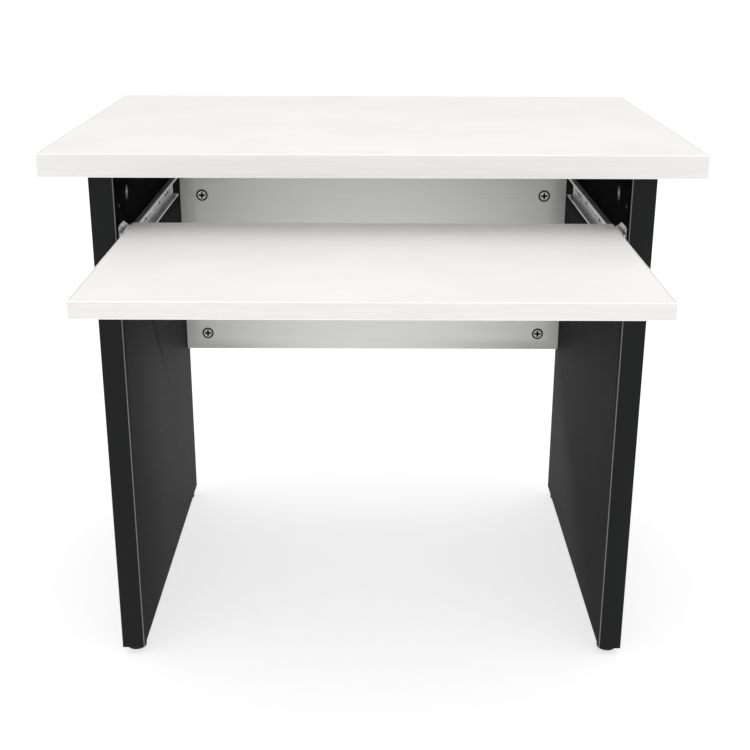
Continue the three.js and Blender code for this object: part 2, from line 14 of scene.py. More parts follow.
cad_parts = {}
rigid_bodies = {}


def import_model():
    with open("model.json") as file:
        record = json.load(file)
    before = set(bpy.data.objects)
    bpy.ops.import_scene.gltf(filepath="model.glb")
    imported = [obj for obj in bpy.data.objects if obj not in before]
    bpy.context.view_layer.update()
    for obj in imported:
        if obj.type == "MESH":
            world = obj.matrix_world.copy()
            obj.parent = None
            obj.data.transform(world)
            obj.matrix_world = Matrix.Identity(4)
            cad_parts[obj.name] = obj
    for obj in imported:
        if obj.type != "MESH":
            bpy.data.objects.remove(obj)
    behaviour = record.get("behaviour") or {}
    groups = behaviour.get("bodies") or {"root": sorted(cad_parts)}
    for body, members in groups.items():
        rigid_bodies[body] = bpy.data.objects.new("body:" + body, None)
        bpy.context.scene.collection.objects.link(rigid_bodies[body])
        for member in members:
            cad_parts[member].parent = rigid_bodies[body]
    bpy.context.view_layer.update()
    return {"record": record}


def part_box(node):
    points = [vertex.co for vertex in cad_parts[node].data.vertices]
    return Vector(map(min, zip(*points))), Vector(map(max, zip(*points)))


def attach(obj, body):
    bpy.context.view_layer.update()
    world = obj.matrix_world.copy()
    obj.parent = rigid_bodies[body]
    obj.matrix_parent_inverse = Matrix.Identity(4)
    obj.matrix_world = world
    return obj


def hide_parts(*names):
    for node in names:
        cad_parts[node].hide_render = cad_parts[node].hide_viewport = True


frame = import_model()
RECORD = frame["record"]

MM = 0.001

# ------------------------------------------------------------------ what the frame says

BODY_OF = {
    node: body
    for body, nodes in RECORD["behaviour"]["bodies"].items()
    for node in nodes
}
SLOT_OF = {part["node"]: part["material_slot"] for part in RECORD["subparts"]}
SIDES = {"left": -1, "right": 1}
ENDS = ("front", "rear")
LEVELS = ("lower", "upper")

X, Y, Z = Vector((1, 0, 0)), Vector((0, 1, 0)), Vector((0, 0, 1))

# ------------------------------------------------------------------ driving sizes

GAP = 0.3 * MM
ROUND = 48  # sides of a round piece or hole

BAND_THICKNESS = 2.0 * MM
BAND_CORNER = 3.0 * MM  # the bands' outside radius round a board's corners
BAND_EDGE = 1.1 * MM  # rounding of the bands' long edges
TRAY_EDGE = TOP_EDGE = 0.25 * MM  # arrises of the laminated boards
PANEL_EDGE = 0.5 * MM
MODESTY_EDGE = 0.6 * MM

PILOT_RADIUS, PILOT_DEPTH = 2.5 * MM, 8 * MM
PILOT_INSET, PILOT_BELOW = 28 * MM, 45.7 * MM
BOLT_HOLE = 3.1 * MM  # radius of the hole that a cam bolt is screwed into
INSERT_HOLE_DEPTH = 31 * MM
INSERT_HOLE_OVERRUN = 1.3 * MM

CAM_BODY = 7.2 * MM  # radius
CAM_DEPTH = 12.4 * MM
CAM_RIM_HEIGHT = 0.9 * MM
DOWEL_CHAMFER = 1.0 * MM

SHEET = 1.2 * MM
BEND = 1.6 * MM  # outside radius of a bend in sheet steel
CHANNEL_HALF = 16 * MM  # half of its height
CHANNEL_LIP = 3.0 * MM
LIP_NOTCH = (42 * MM, 30 * MM)  # its ends, from the channel's rear end
EAR_LENGTH = 77 * MM
EAR_FLAT = 31 * MM
EAR_CORNER = 5 * MM
EAR_OVERLAP = 3.2 * MM  # how far it runs down over the channel's web
FINGER_LENGTH = 54 * MM
FINGER_REACH = 4.6 * MM
FINGER_LOW, FINGER_TOP = 17 * MM, 23.4 * MM  # above the slide's centre line
SPARE_SLOTS = (176, 194, 312, 370, 391)  # mm along the channel from its front end
SLOT_RADIUS, SLOT_HALF_LENGTH = 2.2 * MM, 4 * MM
RAIL_WEB, RAIL_TIP = 7.2 * MM + SHEET, 3.2 * MM  # from the side panel's face
BRACKET_SHEET, BRACKET_BEND = 1.5 * MM, 2.2 * MM
BRACKET_HALF, BRACKET_DROP, BRACKET_REACH = 15 * MM, 12 * MM, 36 * MM
BALL_RADIUS, BALLS_PER_RACE = 1.9 * MM, 8
BALL_UP, BALL_ACROSS = 12.75 * MM, 5.2 * MM
SCREW_HEAD = 3.5 * MM
SCREW_SHANK = 1.7 * MM
SCREW_NUMBERS = (1, 2, 3)


# ------------------------------------------------------------------ materials


def new_material(name, color, roughness, metallic=0.0, specular=0.5):
    """A Principled material; what is the same all over is set on its own sockets."""
    material = bpy.data.materials.new(name)
    material.use_nodes = True
    tree = material.node_tree
    shader = tree.nodes["Principled BSDF"]
    shader.inputs["Base Color"].default_value = (*color, 1)
    shader.inputs["Roughness"].default_value = roughness
    shader.inputs["Metallic"].default_value = metallic
    shader.inputs["Specular IOR Level"].default_value = specular
    material.diffuse_color = (*color, 1)
    return material, tree, shader


def object_noise(tree, scale, stretch=(1, 1, 1), detail=3.0, rough=0.55):
    """Noise in the piece's own metres; stretch squeezes it along an axis."""
    coords = tree.nodes.new("ShaderNodeTexCoord")
    mapping = tree.nodes.new("ShaderNodeMapping")
    mapping.inputs["Scale"].default_value = stretch
    noise = tree.nodes.new("ShaderNodeTexNoise")
    noise.inputs["Scale"].default_value = scale
    noise.inputs["Detail"].default_value = detail
    noise.inputs["Roughness"].default_value = rough
    tree.links.new(coords.outputs["Object"], mapping.inputs["Vector"])
    tree.links.new(mapping.outputs["Vector"], noise.inputs["Vector"])
    return noise.outputs["Fac"]


def height_share(tree, heights, most=1.0):
    """Rises from 0 to its most between two heights above the floor."""
    coords = tree.nodes.new("ShaderNodeTexCoord")
    split = tree.nodes.new("ShaderNodeSeparateXYZ")
    tree.links.new(coords.outputs["Object"], split.inputs["Vector"])
    return spread(tree, split.outputs["Z"], 0.0, most, *heights)


def spread(tree, value, low, high, low_at=0.3, high_at=0.7):
    """Maps a value onto a range of numbers."""
    node = tree.nodes.new("ShaderNodeMapRange")
    node.inputs["From Min"].default_value = low_at
    node.inputs["From Max"].default_value = high_at
    node.inputs["To Min"].default_value = low
    node.inputs["To Max"].default_value = high
    tree.links.new(value, node.inputs["Value"])
    return node.outputs["Result"]


def scaled(color, factor):
    return tuple(min(1.0, c * factor) for c in color)


def grey(level):
    return (level,) * 3


def feed(tree, socket, value):
    """Links a socket to another one, or sets it to a number or a colour."""
    if isinstance(value, bpy.types.NodeSocket):
        tree.links.new(value, socket)
    elif isinstance(value, tuple):
        socket.default_value = (*value, 1)
    else:
        socket.default_value = value


def mix_colors(tree, share, first, second, blend="MIX"):
    """Mixes the second colour into the first."""
    node = tree.nodes.new("ShaderNodeMix")
    node.data_type = "RGBA"
    node.blend_type = blend
    feed(tree, node.inputs[0], share)
    feed(tree, node.inputs[6], first)
    feed(tree, node.inputs[7], second)
    return node.outputs[2]


def mottled(tree, noise, color, darkest, palest):
    """A colour that noise varies between two multiples of itself."""
    share = spread(tree, noise, 0.0, 1.0)
    return mix_colors(tree, share, scaled(color, darkest), scaled(color, palest))


def shaded(tree, tint, share, first, last):
    """A tint times a grey that goes from first to last as the share goes from 0 to 1."""
    factor = mix_colors(tree, share, grey(first), grey(last))
    return mix_colors(tree, 1.0, tint, factor, "MULTIPLY")


def grained(tree, tint, noise, depth=0.035):
    """Darkens a tint a little, in a fine grain."""
    return shaded(tree, tint, spread(tree, noise, 0.0, 1.0), 1 - depth, 1.0)


def worn_edges(tree, plain, worn, amount):
    """Changes a colour where the surface turns sharply, as handling does."""
    geometry = tree.nodes.new("ShaderNodeNewGeometry")
    edge = spread(tree, geometry.outputs["Pointiness"], 0.0, amount, 0.52, 0.62)
    return mix_colors(tree, edge, plain, worn)


def added(tree, first, second):
    """The sum of two values, up to 1."""
    node = tree.nodes.new("ShaderNodeMath")
    node.operation = "ADD"
    node.use_clamp = True
    tree.links.new(first, node.inputs[0])
    tree.links.new(second, node.inputs[1])
    return node.outputs[0]


def dress(tree, shader, tint, gloss, texture, relief):
    """Wires a colour, a roughness and a relief of so many millimetres to the shader."""
    tree.links.new(tint, shader.inputs["Base Color"])
    tree.links.new(gloss, shader.inputs["Roughness"])
    bump = tree.nodes.new("ShaderNodeBump")
    bump.inputs["Distance"].default_value = relief * MM
    bump.inputs["Strength"].default_value = 1.0
    tree.links.new(texture, bump.inputs["Height"])
    tree.links.new(bump.outputs["Normal"], shader.inputs["Normal"])


def laminate(name, color, roughness, specular, mottle=0.03, shade_and_dull_between=None):
    """Melamine-faced board: a fine pearl grain with a slight unevenness of gloss. Between
    two heights, if given, a painted shade darkens it upwards, and it loses its gloss."""
    material, tree, shader = new_material(name, color, roughness, specular=specular)
    wide = object_noise(tree, 7.0, detail=4.0)
    tint = mottled(tree, wide, color, 1 - mottle, 1 + mottle)
    fine = object_noise(tree, 900.0, detail=2.0)
    gloss = spread(tree, fine, roughness - 0.06, roughness + 0.06)
    if shade_and_dull_between:
        # painted shade: darker above the lower height, for the dim space under the top
        tint = shaded(tree, tint, height_share(tree, shade_and_dull_between), 1.0, 0.3)
        gloss = added(tree, gloss, height_share(tree, shade_and_dull_between, 0.5))
    dress(tree, shader, grained(tree, tint, fine), gloss, fine, 0.05)
    return material


def brushed_laminate(name, color, roughness, specular):
    """Silver laminate with a fine brushed grain along X, and a painted shade that makes
    it a little darker at the top.
    """
    material, tree, shader = new_material(name, color, roughness, 0.3, specular)
    long_grain = object_noise(tree, 60.0, (0.05, 1.0, 14.0), detail=5.0, rough=0.7)
    fine_grain = object_noise(tree, 300.0, (0.02, 1.0, 6.0), detail=2.0)
    streaks = mottled(tree, long_grain, color, 0.95, 1.04)
    # painted shade: a little darker towards the top, under the tray and the top
    tint = shaded(tree, streaks, height_share(tree, (0.38, 0.6)), 1.0, 0.79)
    gloss = spread(tree, fine_grain, roughness - 0.08, roughness + 0.1)
    dress(tree, shader, grained(tree, tint, fine_grain, 0.06), gloss, fine_grain, 0.03)
    return material


def edge_band(name, color, roughness, specular, stretch):
    """Extruded plastic band: faint drawing lines along its length, a little handling."""
    material, tree, shader = new_material(name, color, roughness, specular=specular)
    lines = object_noise(tree, 220.0, stretch, detail=2.0)
    tint = mottled(tree, lines, color, 0.965, 1.02)
    worn = worn_edges(tree, tint, scaled(color, 1.25), 0.35)
    gloss = spread(tree, lines, roughness - 0.05, roughness + 0.07)
    dress(tree, shader, worn, gloss, lines, 0.02)
    return material


def plated_steel(name, color, roughness, metallic=1.0):
    """Zinc-plated sheet: soft spangle, rolling marks along Y and brighter bent edges."""
    material, tree, shader = new_material(name, color, roughness, metallic)
    spangle = object_noise(tree, 140.0, detail=2.0)
    rolling = object_noise(tree, 500.0, (1.0, 0.04, 1.0), detail=2.0)
    tint = mottled(tree, spangle, color, 0.94, 1.04)
    grain = grained(tree, tint, rolling, 0.05)
    worn = worn_edges(tree, grain, scaled(color, 1.25), 0.6)
    gloss = spread(tree, rolling, roughness - 0.04, roughness + 0.06)
    dress(tree, shader, worn, gloss, rolling, 0.002)
    return material


def cast_metal(name, color, roughness):
    """Nickel-plated die casting: fine pitting and slightly worn edges."""
    material, tree, shader = new_material(name, color, roughness, metallic=0.25)
    pits = object_noise(tree, 1400.0, detail=3.0)
    tint = mottled(tree, pits, color, 0.82, 1.05)
    worn = worn_edges(tree, tint, scaled(color, 1.3), 0.5)
    gloss = spread(tree, pits, roughness - 0.06, roughness + 0.14)
    dress(tree, shader, worn, gloss, pits, 0.02)
    return material


def moulded_plastic(name, color, roughness):
    """Moulded plastic: a spark-eroded texture with scuffed edges."""
    material, tree, shader = new_material(name, color, roughness, specular=0.35)
    texture = object_noise(tree, 1100.0, detail=3.0)
    tint = mottled(tree, texture, color, 0.85, 1.2)
    worn = worn_edges(tree, tint, scaled(color, 2.2), 0.5)
    gloss = spread(tree, texture, roughness - 0.08, roughness + 0.08)
    dress(tree, shader, worn, gloss, texture, 0.03)
    return material


def raw_wood(name, color, roughness):
    """Raw wood: pores and a soft change of colour."""
    material, tree, shader = new_material(name, color, roughness, specular=0.3)
    pores = object_noise(tree, 900.0, (0.2, 0.2, 0.2), detail=4.0)
    tint = mottled(tree, pores, color, 0.75, 1.1)
    gloss = spread(tree, pores, roughness - 0.05, roughness + 0.1)
    dress(tree, shader, tint, gloss, pores, 0.05)
    return material


WHITE = (0.865, 0.857, 0.842)
# The bands' white is darker than the laminate's: a painted shade for the desk's upright
# edge faces.
WHITE_BAND = (0.775, 0.767, 0.754)
# a paler white on the bands' rounded edges: a painted highlight
WHITE_HIGHLIGHT = (0.94, 0.93, 0.915)
BLACK = (0.0045, 0.0045, 0.0048)
BLACK_BAND = (0.0095, 0.0098, 0.0105)
# a paler black on the inner rounded edge of the panels' bands: a painted highlight
BLACK_HIGHLIGHT = (0.14, 0.14, 0.142)
BLACK_PLASTIC = (0.006, 0.006, 0.0065)
# The front's silver is paler than the laminate's own tone: painted light for the dim
# space under the desk. The rear face keeps the darker, plain silver.
SILVER = (0.98, 0.976, 0.96)
PLAIN_SILVER = (0.48, 0.478, 0.472)
STEEL = (0.74, 0.75, 0.76)
NICKEL = (0.97, 0.965, 0.95)
CHIPBOARD = (0.24, 0.21, 0.17)
BEECH = (0.56, 0.39, 0.21)

LEVEL_LINES = (0.05, 0.05, 1.0)  # drawing lines of a band that lies flat
UPRIGHT_LINES = (1.0, 1.0, 0.05)
# the side panels' inner faces get a painted shade between these heights
SHADE_HEIGHTS = (0.56, 0.64)  # heights in metres

MATERIALS = {
    name: make(name, *values)
    for name, make, *values in (
        ("white_laminate", laminate, WHITE, 0.5, 0.3),
        ("white_edge_band", edge_band, WHITE_BAND, 0.42, 0.35, LEVEL_LINES),
        ("black_laminate", laminate, BLACK, 0.6, 0.04, 0.08),
        ("inner_black_laminate", laminate, BLACK, 0.6, 0.04, 0.08, SHADE_HEIGHTS),
        ("black_edge_band", edge_band, BLACK_BAND, 0.45, 0.1, UPRIGHT_LINES),
        ("silver_laminate", brushed_laminate, SILVER, 0.46, 0.4),
        ("silver_backing", brushed_laminate, PLAIN_SILVER, 0.5, 0.3),
        ("trimmed_white_band", edge_band, WHITE_HIGHLIGHT, 0.3, 0.5, LEVEL_LINES),
        ("trimmed_black_band", edge_band, BLACK_HIGHLIGHT, 0.28, 0.5, UPRIGHT_LINES),
        ("raw_board", raw_wood, CHIPBOARD, 0.9),
        ("cam_shadow", moulded_plastic, grey(0.003), 0.8),
        ("dark_cam_metal", cast_metal, grey(0.1), 0.35),
        ("zinc_plated_steel", plated_steel, STEEL, 0.3),
        # painted highlight for the lips' edges
        ("burnished_steel", plated_steel, grey(0.98), 0.3, 0.1),
        # painted shade for the ball races
        ("greased_steel", plated_steel, grey(0.2), 0.3),
        # painted shade for the channel's top, in the dim space under the desktop
        ("dusty_steel", plated_steel, grey(0.12), 0.6, 0.1),
        ("cam_metal", cast_metal, NICKEL, 0.4),
        ("black_plastic", moulded_plastic, BLACK_PLASTIC, 0.5),
        ("beech", raw_wood, BEECH, 0.7),
    )
}


# ------------------------------------------------------------------ mesh helpers


def mesh_object(name, bm, material, smooth_under=35):
    """Turns a bmesh into an object, smooth apart from its sharp edges."""
    bmesh.ops.recalc_face_normals(bm, faces=bm.faces)
    mesh = bpy.data.meshes.new(name)
    bm.to_mesh(mesh)
    bm.free()
    obj = bpy.data.objects.new(name, mesh)
    bpy.context.scene.collection.objects.link(obj)
    if material is not None:
        mesh.materials.append(material)
    shade(obj, smooth_under)
    return obj


def shade(obj, smooth_under=35):
    """Smooth, apart from edges that turn by more than this many degrees."""
    mesh = obj.data
    mesh.polygons.foreach_set("use_smooth", [True] * len(mesh.polygons))
    mesh.set_sharp_from_angle(angle=math.radians(smooth_under))
    mesh.update()


def look(node, bm, material, smooth_under=35):
    """The piece that stands for a CAD node."""
    return mesh_object(node + "_look", bm, MATERIALS[material], smooth_under)


def place(obj, node):
    """The piece rides with a CAD node's body and stands for it."""
    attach(obj, BODY_OF[node])
    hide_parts(node)


def reface(obj, material, wanted):
    """Gives the wanted faces a material of their own."""
    obj.data.materials.append(MATERIALS[material])
    for face in obj.data.polygons:
        if wanted(face):
            face.material_index = len(obj.data.materials) - 1


def bm_box(low, high):
    bm = bmesh.new()
    bmesh.ops.create_cube(bm, size=1.0)
    size = Vector(high) - Vector(low)
    centre = (Vector(high) + Vector(low)) / 2
    matrix = Matrix.Translation(centre) @ Matrix.Diagonal((*size, 1))
    bmesh.ops.transform(bm, matrix=matrix, verts=bm.verts)
    return bm


def bevel_edges(bm, radius, segments, wanted=lambda edge: True):
    """Rounds the wanted edges."""
    edges = [edge for edge in bm.edges if wanted(edge)]
    bmesh.ops.bevel(
        bm,
        geom=edges,
        offset=radius,
        segments=segments,
        profile=0.5,
        affect="EDGES",
        clamp_overlap=True,
    )
    return bm


def towards(direction):
    """A rotation that takes +Z to a direction."""
    return Vector(direction).to_track_quat("Z", "Y").to_matrix().to_4x4()


def bm_lathe(profile, at, direction, sides=ROUND):
    """Turns a profile of (radius, height) about a direction. It starts and ends on the
    axis, or closes on itself where its first and last points are the same."""
    closed = profile[0] == profile[-1]
    rows = profile[:-1] if closed else profile
    turns = [2 * math.pi * i / sides for i in range(sides)]
    bm = bmesh.new()
    rings = []
    for radius, height in rows:
        ring = [(0, 0, height)]
        if radius > 0:
            ring = [(radius * math.cos(t), radius * math.sin(t), height) for t in turns]
        rings.append([bm.verts.new(point) for point in ring])
    pairs = list(zip(rings, rings[1:]))
    if closed:
        pairs.append((rings[-1], rings[0]))
    for lower, upper in pairs:
        for i in range(sides):
            j = (i + 1) % sides
            corners = [lower[i % len(lower)], lower[j % len(lower)]]
            corners += [upper[j % len(upper)], upper[i % len(upper)]]
            unique = list(dict.fromkeys(corners))
            if len(unique) > 2:
                bm.faces.new(unique)
    matrix = Matrix.Translation(Vector(at)) @ towards(direction)
    bmesh.ops.transform(bm, matrix=matrix, verts=bm.verts)
    bmesh.ops.recalc_face_normals(bm, faces=bm.faces)
    return bm


def bm_rod(radius, length, start, direction, sides=32):
    """A plain round rod, to cut a hole with."""
    profile = [(0, 0), (radius, 0), (radius, length), (0, length)]
    return bm_lathe(profile, start, direction, sides)


def bm_prism(outline, start, end, basis):
    """A flat outline of (a, b) points pushed along a third axis; basis has all three."""
    along_a, along_b, along_c = basis
    bm = bmesh.new()
    ends = []
    for c in (start, end):
        ends.append(
            [bm.verts.new(along_a * a + along_b * b + along_c * c) for a, b in outline]
        )
    count = len(outline)
    for i in range(count):
        j = (i + 1) % count
        bm.faces.new((ends[0][i], ends[0][j], ends[1][j], ends[1][i]))
    bm.faces.new(list(reversed(ends[0])))
    bm.faces.new(ends[1])
    bmesh.ops.recalc_face_normals(bm, faces=bm.faces)
    return bm


def joined(*parts):
    """Several bmeshes as one."""
    total = bmesh.new()
    for part in parts:
        mesh = bpy.data.meshes.new("part")
        part.to_mesh(mesh)
        part.free()
        total.from_mesh(mesh)
        bpy.data.meshes.remove(mesh)
    return total


def boolean(obj, tools, operation="DIFFERENCE"):
    """Cuts or joins an object with bmesh tools, and keeps the resulting mesh."""
    collection = bpy.data.collections.new("tools")
    for bm in tools:
        tool = mesh_object("tool", bm, None)
        bpy.context.scene.collection.objects.unlink(tool)
        collection.objects.link(tool)
    bpy.context.scene.collection.children.link(collection)
    modifier = obj.modifiers.new("cut", "BOOLEAN")
    modifier.operand_type = "COLLECTION"
    modifier.collection = collection
    modifier.operation = operation
    modifier.solver = "EXACT"
    bpy.context.view_layer.update()
    graph = bpy.context.evaluated_depsgraph_get()
    mesh = bpy.data.meshes.new_from_object(obj.evaluated_get(graph))
    obj.modifiers.clear()
    old = obj.data
    obj.data = mesh
    mesh.name = obj.name
    bpy.data.meshes.remove(old)
    for tool in list(collection.objects):
        mesh_of_tool = tool.data
        bpy.data.objects.remove(tool)
        bpy.data.meshes.remove(mesh_of_tool)
    bpy.data.collections.remove(collection)


def centre_of(node):
    """The middle of a node's box."""
    low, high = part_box(node)
    return (low + high) / 2


def long_axis(node):
    """The axis that a rod-like node lies along."""
    low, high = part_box(node)
    size = high - low
    return (X, Y, Z)[max(range(3), key=lambda i: size[i])]


# ------------------------------------------------------------------ holes


def rod_hole(node, clearance, radius=None):
    """The hole that a rod-like node stands in, a little longer than the node."""
    low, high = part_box(node)
    axis = long_axis(node)
    size = high - low
    length = max(size) + 2 * MM
    radius = radius or min(size) / 2
    start = centre_of(node) - axis * length / 2
    return bm_rod(radius + clearance, length, start, axis)


CAMS = {}
for side_name, side_sign in SIDES.items():
    for end_name in ENDS:
        CAMS[f"desktop_{side_name}_{end_name}_cam"] = (-side_sign * X, -Z)
    for level_name in LEVELS:
        CAMS[f"modesty_{side_name}_{level_name}_cam"] = (-Y, -side_sign * X)


def cam_mouth(node):
    """The centre of a cam, on the face of the board that it sits in."""
    out = CAMS[node][0]
    low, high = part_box(node)
    reach = abs((high - low).dot(out))
    return centre_of(node) + out * (reach / 2 - CAM_RIM_HEIGHT - GAP)


def cam_hole(node):
    """The round pocket that a cam turns in."""
    out = CAMS[node][0]
    depth = CAM_DEPTH + GAP
    return bm_rod(CAM_BODY + GAP, depth + MM, cam_mouth(node) + out * MM, -out, ROUND)


# ------------------------------------------------------------------ boards


def board(node, holes, edge):
    """A board: its laminated faces meet in a fine arris, and its drilled holes show the
    raw core."""
    low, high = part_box(node)
    bm = bevel_edges(bm_box(low, high), edge, 2)
    obj = look(node, bm, SLOT_OF[node])
    boolean(obj, holes)
    obj.data.materials.append(MATERIALS["raw_board"])
    skin = edge + 0.05 * MM
    for face in obj.data.polygons:
        depth = min(min(face.center - low), min(high - face.center))
        face.material_index = int(depth > skin)
    shade(obj, 30)
    place(obj, node)
    return obj


def rounded_rectangle(half_x, half_y, radius, steps=6):
    """Points round a rectangle with round corners."""
    points = []
    corners = [(1, -1, -90), (1, 1, 0), (-1, 1, 90), (-1, -1, 180)]
    for sign_x, sign_y, start in corners:
        for i in range(steps + 1):
            turn = math.radians(start + 90 * i / steps)
            x = sign_x * (half_x - radius) + radius * math.cos(turn)
            y = sign_y * (half_y - radius) + radius * math.sin(turn)
            points.append((x, y))
    return points


def band_profile(thickness, height, edge, steps=4):
    """(inset, z) round the band's section: square inside, rounded outside."""
    points = [(thickness, 0.0), (edge, 0.0)]
    for i in range(1, steps + 1):
        turn = math.pi / 2 * i / steps
        points.append((edge - edge * math.sin(turn), edge - edge * math.cos(turn)))
    for i in range(steps + 1):
        turn = math.pi / 2 * i / steps
        points.append(
            (edge - edge * math.cos(turn), height - edge + edge * math.sin(turn))
        )
    points.append((thickness, height))
    return points


def ring_band(node):
    """The band round a board: one closed strip with rounded outer edges."""
    low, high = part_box(node)
    half = (high - low) / 2
    centre = (high + low) / 2
    bm = bmesh.new()
    loops = []
    for inset, up in band_profile(BAND_THICKNESS, high.z - low.z, BAND_EDGE):
        points = rounded_rectangle(
            half.x - inset, half.y - inset, max(BAND_CORNER - inset, 0.4 * MM)
        )
        loops.append(
            [bm.verts.new((centre.x + x, centre.y + y, low.z + up)) for x, y in points]
        )
    count = len(loops[0])
    for lower, upper in zip(loops, loops[1:] + loops[:1]):
        for i in range(count):
            j = (i + 1) % count
            bm.faces.new((lower[i], lower[j], upper[j], upper[i]))
    obj = look(node, bm, SLOT_OF[node], 40)
    # the rounded edges get a paler white: a painted highlight
    reface(obj, "trimmed_white_band", lambda face: 0.03 < abs(face.normal.z) < 0.999)
    place(obj, node)


def panel_band(side):
    """The band on a side panel's front edge. Its long edges are rounded, and the inner
    one
    gets a paler, smoother plastic: a painted highlight."""
    node = f"{side}_panel_edge_band"
    low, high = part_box(node)
    bm = bm_box(low, high)

    def front_upright(edge):
        a, b = edge.verts
        upright = abs(a.co.z - b.co.z) > 0.1
        return upright and a.co.y < (low.y + high.y) / 2

    bevel_edges(bm, BAND_EDGE, 5, front_upright)
    obj = look(node, bm, SLOT_OF[node], 40)
    reface(
        obj,
        "trimmed_black_band",
        lambda face: 0.03 < -SIDES[side] * face.normal.x < 0.999,
    )
    place(obj, node)


def desktop_holes():
    nodes = [f"desktop_{side}_{end}" for side in SIDES for end in ENDS]
    holes = [rod_hole(n + "_dowel", GAP) for n in nodes]
    holes += [rod_hole(n + "_cam_bolt", 0.1 * MM, BOLT_HOLE) for n in nodes]
    return holes


def modesty_holes():
    nodes = [f"modesty_{side}_{level}" for side in SIDES for level in LEVELS]
    holes = [rod_hole(n + "_dowel", GAP) for n in nodes]
    holes += [rod_hole(n + "_cam_bolt", 0.4 * MM) for n in nodes]
    holes += [cam_hole(n + "_cam") for n in nodes]
    return holes


def pilot_hole(side):
    """The empty pilot hole near the top of a side panel's inner face."""
    low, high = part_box(f"{side}_panel_edge_band")
    sign = SIDES[side]
    wall = low.x if sign > 0 else high.x
    at = Vector((wall - sign * MM, low.y + PILOT_INSET, high.z - PILOT_BELOW))
    return bm_rod(PILOT_RADIUS, PILOT_DEPTH + MM, at, sign * X)


def panel_holes(side):
    tops = [f"desktop_{side}_{end}" for end in ENDS]
    backs = [f"modesty_{side}_{level}" for level in LEVELS]
    inserts = [f"{side}_{end}_foot_insert" for end in ENDS]
    screws = [f"{side}_channel_screw_{i}" for i in SCREW_NUMBERS]
    holes = [rod_hole(n + "_dowel", GAP) for n in tops + backs]
    holes += [rod_hole(n + "_cam_bolt", 0.4 * MM) for n in tops]
    holes += [rod_hole(n + "_cam_bolt", 0.1 * MM, BOLT_HOLE) for n in backs]
    holes += [cam_hole(n + "_cam") for n in tops]
    holes += [rod_hole(n, GAP, SCREW_SHANK) for n in screws]
    holes.append(pilot_hole(side))
    for node in inserts:
        centre = centre_of(node)
        low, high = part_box(node)
        radius = (high.x - low.x) / 2 + GAP
        at = (centre.x, centre.y, low.z - INSERT_HOLE_OVERRUN)
        holes.append(bm_rod(radius, INSERT_HOLE_DEPTH, at, Z))
    return holes


def tray_holes():
    nodes = [f"{side}_tray_screw_{i}" for side in SIDES for i in SCREW_NUMBERS]
    return [rod_hole(node, GAP, SCREW_SHANK) for node in nodes]


def side_panel(side, sign):
    """A side panel; its inner face gets a painted shade and grows duller from the slides
    upwards.
    """
    obj = board(f"{side}_side_panel", panel_holes(side), PANEL_EDGE)
    reface(
        obj,
        "inner_black_laminate",
        lambda face: face.normal.x * sign < -0.5 and face.material_index == 0,
    )
    panel_band(side)


def modesty_panel():
    """The silver panel: its front face is paler than its rear face, a painted light for
    the dim space under the desk.
    """
    obj = board("modesty_panel", modesty_holes(), MODESTY_EDGE)
    reface(obj, "silver_backing", lambda face: face.normal.y > 0.5)


board("desktop_board", desktop_holes(), TOP_EDGE)
ring_band("desktop_edge_band")
for side_name, side_sign in SIDES.items():
    side_panel(side_name, side_sign)
modesty_panel()
board("keyboard_tray", tray_holes(), TRAY_EDGE)
ring_band("tray_edge_band")


# ------------------------------------------------------------------ cams, bolts, dowels


def arc_points(centre, radius, start, end, steps):
    """Points on an arc in a profile's (radius, height) plane, angles in degrees."""
    turns = [math.radians(start + (end - start) * i / steps) for i in range(steps + 1)]
    return [
        (centre[0] + radius * math.cos(turn), centre[1] + radius * math.sin(turn))
        for turn in turns
    ]


def cross_recess(at, out, length, width, depth):
    """Cutting tools for a driver's cross, which tapers towards its bottom."""
    tools = []
    turn = towards(out)
    half, narrow, above = length / 2, length / 2 * 0.62, depth * 0.15
    outline = [(-half, above), (half, above)]
    outline += [(half, 0), (narrow, -depth), (-narrow, -depth), (-half, 0)]
    for angle in (0, 90):
        spin = Matrix.Rotation(math.radians(angle), 4, "Z")
        bm = bm_prism(outline, -width / 2, width / 2, (X, Z, Y))
        matrix = Matrix.Translation(Vector(at)) @ turn @ spin
        bmesh.ops.transform(bm, matrix=matrix, verts=bm.verts)
        tools.append(bm)
    return tools


def line_recess(obj, face_at, out, recess_painted_light, radius=6 * MM, depth=4 * MM):
    """Gives the walls of a driver's recess a material of their own, a painted shade; in
    the desktop cams, a painted glint.
    """

    def in_recess(face):
        offset = face.center - face_at
        down = -offset.dot(out)
        aside = (offset + out * down).length
        return 0.1 * MM < down < depth and aside < radius

    reface(obj, recess_painted_light, in_recess)


